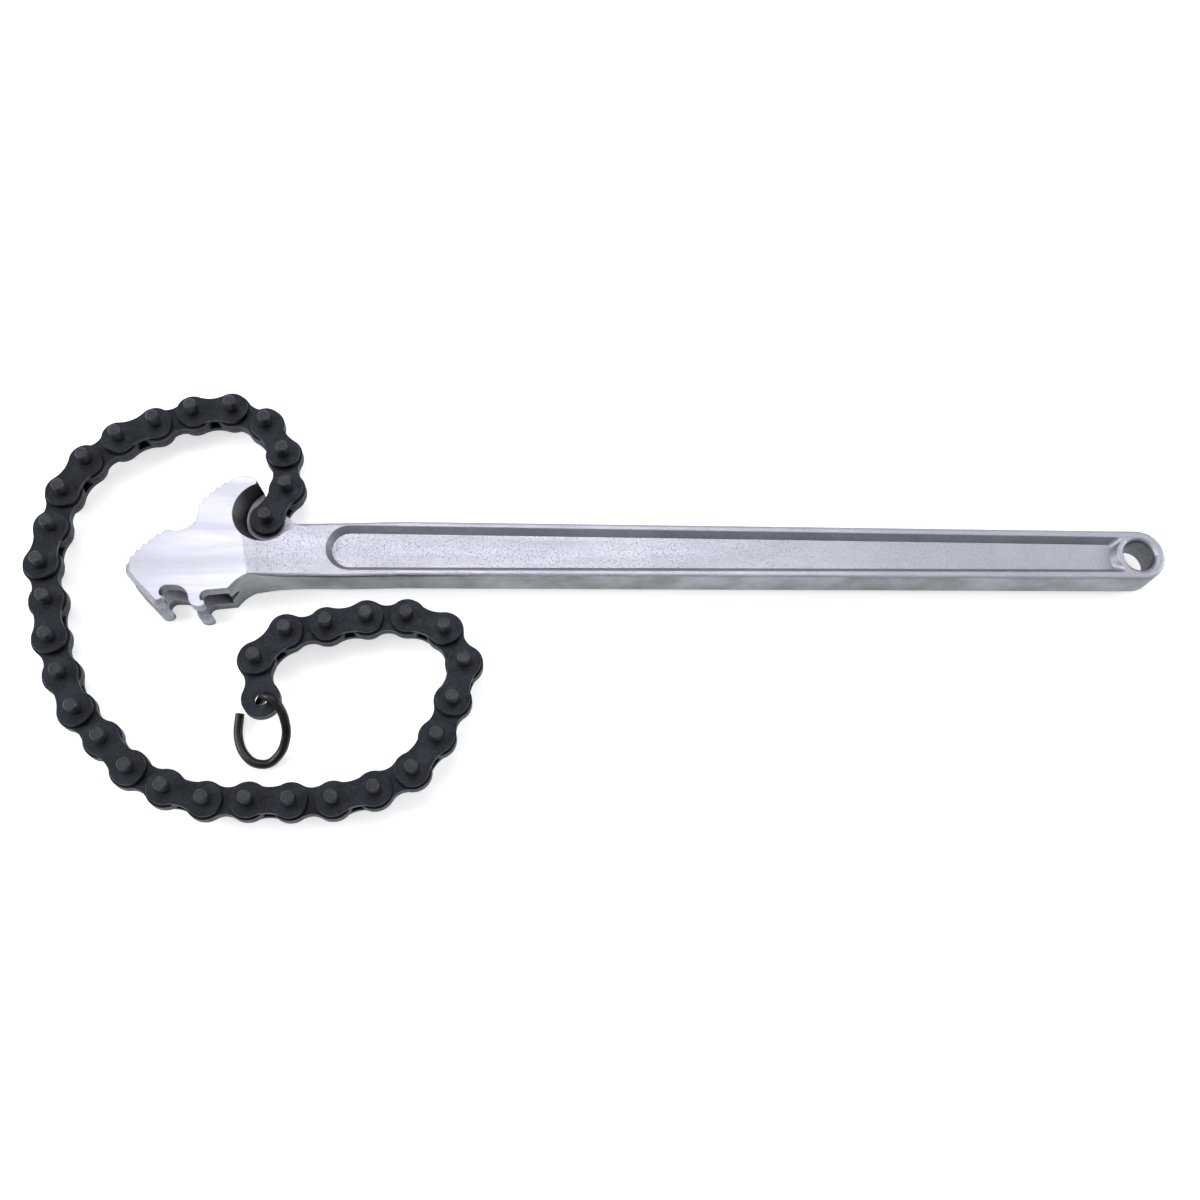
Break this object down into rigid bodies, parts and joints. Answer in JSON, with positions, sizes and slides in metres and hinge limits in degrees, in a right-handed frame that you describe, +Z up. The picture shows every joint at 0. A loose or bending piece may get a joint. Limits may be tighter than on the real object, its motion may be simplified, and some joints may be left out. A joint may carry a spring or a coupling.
{
  "type": "chain wrench",
  "caption": "Heavy chain wrench: forged handle with double toothed jaw, pivoting plate chain with long pins, and an open end ring.",
  "frame": {"origin": "middle of the object's box, on the surface it lies on", "axes": "+X along the handle from the jaw to the hanging hole, +Y towards the side the chain leaves the head, +Z up, square to the chain's plates"},
  "size_m": [0.7445, 0.2888, 0.036],
  "materials": {
    "forged_steel": "satin plated forging, ground jaw faces",
    "chain_plate": "dark phosphate, fine grain",
    "chain_pin": "dark phosphate, sheared round ends",
    "black_wire": "glossy black"
  },
  "bodies": {
    "forging": {"wrench_forging": "forged_steel"},
    "outer_link_01": {"outer_plates_01": "chain_plate", "link_pins_01": "chain_pin"},
    "inner_link_01": {"inner_plates_01": "chain_plate"},
    "outer_link_02": {"outer_plates_02": "chain_plate", "link_pins_02": "chain_pin"},
    "inner_link_02": {"inner_plates_02": "chain_plate"},
    "outer_link_03": {"outer_plates_03": "chain_plate", "link_pins_03": "chain_pin"},
    "inner_link_03": {"inner_plates_03": "chain_plate"},
    "outer_link_04": {"outer_plates_04": "chain_plate", "link_pins_04": "chain_pin"},
    "inner_link_04": {"inner_plates_04": "chain_plate"},
    "outer_link_05": {"outer_plates_05": "chain_plate", "link_pins_05": "chain_pin"},
    "inner_link_05": {"inner_plates_05": "chain_plate"},
    "outer_link_06": {"outer_plates_06": "chain_plate", "link_pins_06": "chain_pin"},
    "inner_link_06": {"inner_plates_06": "chain_plate"},
    "outer_link_07": {"outer_plates_07": "chain_plate", "link_pins_07": "chain_pin"},
    "inner_link_07": {"inner_plates_07": "chain_plate"},
    "outer_link_08": {"outer_plates_08": "chain_plate", "link_pins_08": "chain_pin"},
    "inner_link_08": {"inner_plates_08": "chain_plate"},
    "outer_link_09": {"outer_plates_09": "chain_plate", "link_pins_09": "chain_pin"},
    "inner_link_09": {"inner_plates_09": "chain_plate"},
    "outer_link_10": {"outer_plates_10": "chain_plate", "link_pins_10": "chain_pin"},
    "inner_link_10": {"inner_plates_10": "chain_plate"},
    "outer_link_11": {"outer_plates_11": "chain_plate", "link_pins_11": "chain_pin"},
    "inner_link_11": {"inner_plates_11": "chain_plate"},
    "outer_link_12": {"outer_plates_12": "chain_plate", "link_pins_12": "chain_pin"},
    "inner_link_12": {"inner_plates_12": "chain_plate"},
    "outer_link_13": {"outer_plates_13": "chain_plate", "link_pins_13": "chain_pin"},
    "inner_link_13": {"inner_plates_13": "chain_plate"},
    "outer_link_14": {"outer_plates_14": "chain_plate", "link_pins_14": "chain_pin"},
    "inner_link_14": {"inner_plates_14": "chain_plate"},
    "outer_link_15": {"outer_plates_15": "chain_plate", "link_pins_15": "chain_pin"},
    "inner_link_15": {"inner_plates_15": "chain_plate"},
    "outer_link_16": {"outer_plates_16": "chain_plate", "link_pins_16": "chain_pin"},
    "inner_link_16": {"inner_plates_16": "chain_plate"},
    "outer_link_17": {"outer_plates_17": "chain_plate", "link_pins_17": "chain_pin"},
    "inner_link_17": {"inner_plates_17": "chain_plate"},
    "ring": {"end_ring": "black_wire"}
  },
  "joints": [
    {"name": "anchor_hinge", "type": "hinge", "parent": "forging", "child": "outer_link_01", "pos_m": [-0.22122, 0.05189, 0.018], "axis": [0, 0, 1], "range_deg": [-29, 3]},
    {"name": "pin_02_hinge", "type": "hinge", "parent": "outer_link_01", "child": "inner_link_01", "pos_m": [-0.21009, 0.07472, 0.018], "axis": [0, 0, -1], "range_deg": [-6, 21]},
    {"name": "pin_03_hinge", "type": "hinge", "parent": "inner_link_01", "child": "outer_link_02", "pos_m": [-0.21362, 0.09987, 0.018], "axis": [0, 0, 1], "range_deg": [-18, 6]},
    {"name": "pin_04_hinge", "type": "hinge", "parent": "outer_link_02", "child": "inner_link_02", "pos_m": [-0.22671, 0.12164, 0.018], "axis": [0, 0, -1], "range_deg": [-5, 17]},
    {"name": "pin_05_hinge", "type": "hinge", "parent": "inner_link_02", "child": "outer_link_03", "pos_m": [-0.24973, 0.13238, 0.018], "axis": [0, 0, 1], "range_deg": [-45, 4]},
    {"name": "pin_06_hinge", "type": "hinge", "parent": "outer_link_03", "child": "inner_link_03", "pos_m": [-0.27499, 0.12972, 0.018], "axis": [0, 0, -1], "range_deg": [-3, 45]},
    {"name": "pin_07_hinge", "type": "hinge", "parent": "inner_link_03", "child": "outer_link_04", "pos_m": [-0.2987, 0.12062, 0.018], "axis": [0, 0, 1], "range_deg": [-45, 2]},
    {"name": "pin_08_hinge", "type": "hinge", "parent": "outer_link_04", "child": "inner_link_04", "pos_m": [-0.32153, 0.10949, 0.018], "axis": [0, 0, -1], "range_deg": [-2, 45]},
    {"name": "pin_09_hinge", "type": "hinge", "parent": "inner_link_04", "child": "outer_link_05", "pos_m": [-0.34041, 0.09249, 0.018], "axis": [0, 0, 1], "range_deg": [-45, 2]},
    {"name": "pin_10_hinge", "type": "hinge", "parent": "outer_link_05", "child": "inner_link_05", "pos_m": [-0.35272, 0.07028, 0.018], "axis": [0, 0, -1], "range_deg": [-1, 45]},
    {"name": "pin_11_hinge", "type": "hinge", "parent": "inner_link_05", "child": "outer_link_06", "pos_m": [-0.35713, 0.04526, 0.018], "axis": [0, 0, 1], "range_deg": [-45, 1]},
    {"name": "pin_12_hinge", "type": "hinge", "parent": "outer_link_06", "child": "inner_link_06", "pos_m": [-0.36023, 0.02005, 0.018], "axis": [0, 0, -1], "range_deg": [-1, 45]},
    {"name": "pin_13_hinge", "type": "hinge", "parent": "inner_link_06", "child": "outer_link_07", "pos_m": [-0.35365, -0.00448, 0.018], "axis": [0, 0, 1], "range_deg": [-45, 1]},
    {"name": "pin_14_hinge", "type": "hinge", "parent": "outer_link_07", "child": "inner_link_07", "pos_m": [-0.3488, -0.02942, 0.018], "axis": [0, 0, -1], "range_deg": [-2, 45]},
    {"name": "pin_15_hinge", "type": "hinge", "parent": "inner_link_07", "child": "outer_link_08", "pos_m": [-0.33929, -0.05297, 0.018], "axis": [0, 0, 1], "range_deg": [-45, 2]},
    {"name": "pin_16_hinge", "type": "hinge", "parent": "outer_link_08", "child": "inner_link_08", "pos_m": [-0.32776, -0.0756, 0.018], "axis": [0, 0, -1], "range_deg": [-2, 45]},
    {"name": "pin_17_hinge", "type": "hinge", "parent": "inner_link_08", "child": "outer_link_09", "pos_m": [-0.31011, -0.09387, 0.018], "axis": [0, 0, 1], "range_deg": [-45, 2]},
    {"name": "pin_18_hinge", "type": "hinge", "parent": "outer_link_09", "child": "inner_link_09", "pos_m": [-0.29247, -0.11214, 0.018], "axis": [0, 0, -1], "range_deg": [-3, 45]},
    {"name": "pin_19_hinge", "type": "hinge", "parent": "inner_link_09", "child": "outer_link_10", "pos_m": [-0.27004, -0.12407, 0.018], "axis": [0, 0, 1], "range_deg": [-45, 3]},
    {"name": "pin_20_hinge", "type": "hinge", "parent": "outer_link_10", "child": "inner_link_10", "pos_m": [-0.24575, -0.13149, 0.018], "axis": [0, 0, -1], "range_deg": [-5, 45]},
    {"name": "pin_21_hinge", "type": "hinge", "parent": "inner_link_10", "child": "outer_link_11", "pos_m": [-0.22036, -0.13194, 0.018], "axis": [0, 0, 1], "range_deg": [-45, 7]},
    {"name": "pin_22_hinge", "type": "hinge", "parent": "outer_link_11", "child": "inner_link_11", "pos_m": [-0.19496, -0.13238, 0.018], "axis": [0, 0, -1], "range_deg": [-11, 45]},
    {"name": "pin_23_hinge", "type": "hinge", "parent": "inner_link_11", "child": "outer_link_12", "pos_m": [-0.16958, -0.13149, 0.018], "axis": [0, 0, 1], "range_deg": [-45, 12]},
    {"name": "pin_24_hinge", "type": "hinge", "parent": "outer_link_12", "child": "inner_link_12", "pos_m": [-0.14493, -0.12535, 0.018], "axis": [0, 0, -1], "range_deg": [-8, 45]},
    {"name": "pin_25_hinge", "type": "hinge", "parent": "inner_link_12", "child": "outer_link_13", "pos_m": [-0.1225, -0.11342, 0.018], "axis": [0, 0, 1], "range_deg": [-18, 6]},
    {"name": "pin_26_hinge", "type": "hinge", "parent": "outer_link_13", "child": "inner_link_13", "pos_m": [-0.10794, -0.09262, 0.018], "axis": [0, 0, -1], "range_deg": [-5, 13]},
    {"name": "pin_27_hinge", "type": "hinge", "parent": "inner_link_13", "child": "outer_link_14", "pos_m": [-0.09883, -0.0689, 0.018], "axis": [0, 0, 1], "range_deg": [-11, 5]},
    {"name": "pin_28_hinge", "type": "hinge", "parent": "outer_link_14", "child": "inner_link_14", "pos_m": [-0.09226, -0.04437, 0.018], "axis": [0, 0, -1], "range_deg": [-4, 10]},
    {"name": "pin_29_hinge", "type": "hinge", "parent": "inner_link_14", "child": "outer_link_15", "pos_m": [-0.10496, -0.02237, 0.018], "axis": [0, 0, 1], "range_deg": [-11, 5]},
    {"name": "pin_30_hinge", "type": "hinge", "parent": "outer_link_15", "child": "inner_link_15", "pos_m": [-0.12883, -0.01368, 0.018], "axis": [0, 0, -1], "range_deg": [-8, 15]},
    {"name": "pin_31_hinge", "type": "hinge", "parent": "inner_link_15", "child": "outer_link_16", "pos_m": [-0.15421, -0.01457, 0.018], "axis": [0, 0, 1], "range_deg": [-23, 13]},
    {"name": "pin_32_hinge", "type": "hinge", "parent": "outer_link_16", "child": "inner_link_16", "pos_m": [-0.17914, -0.01942, 0.018], "axis": [0, 0, -1], "range_deg": [-45, 45]},
    {"name": "pin_33_hinge", "type": "hinge", "parent": "inner_link_16", "child": "outer_link_17", "pos_m": [-0.20408, -0.02426, 0.018], "axis": [0, 0, 1], "range_deg": [-45, 45]},
    {"name": "pin_34_hinge", "type": "hinge", "parent": "outer_link_17", "child": "inner_link_17", "pos_m": [-0.22172, -0.04254, 0.018], "axis": [0, 0, -1], "range_deg": [-45, 45]},
    {"name": "ring_swivel", "type": "hinge", "parent": "inner_link_17", "child": "ring", "pos_m": [-0.21731, -0.06755, 0.018], "axis": [0, 0, 1], "range_deg": [-60, 60]}
  ]
}
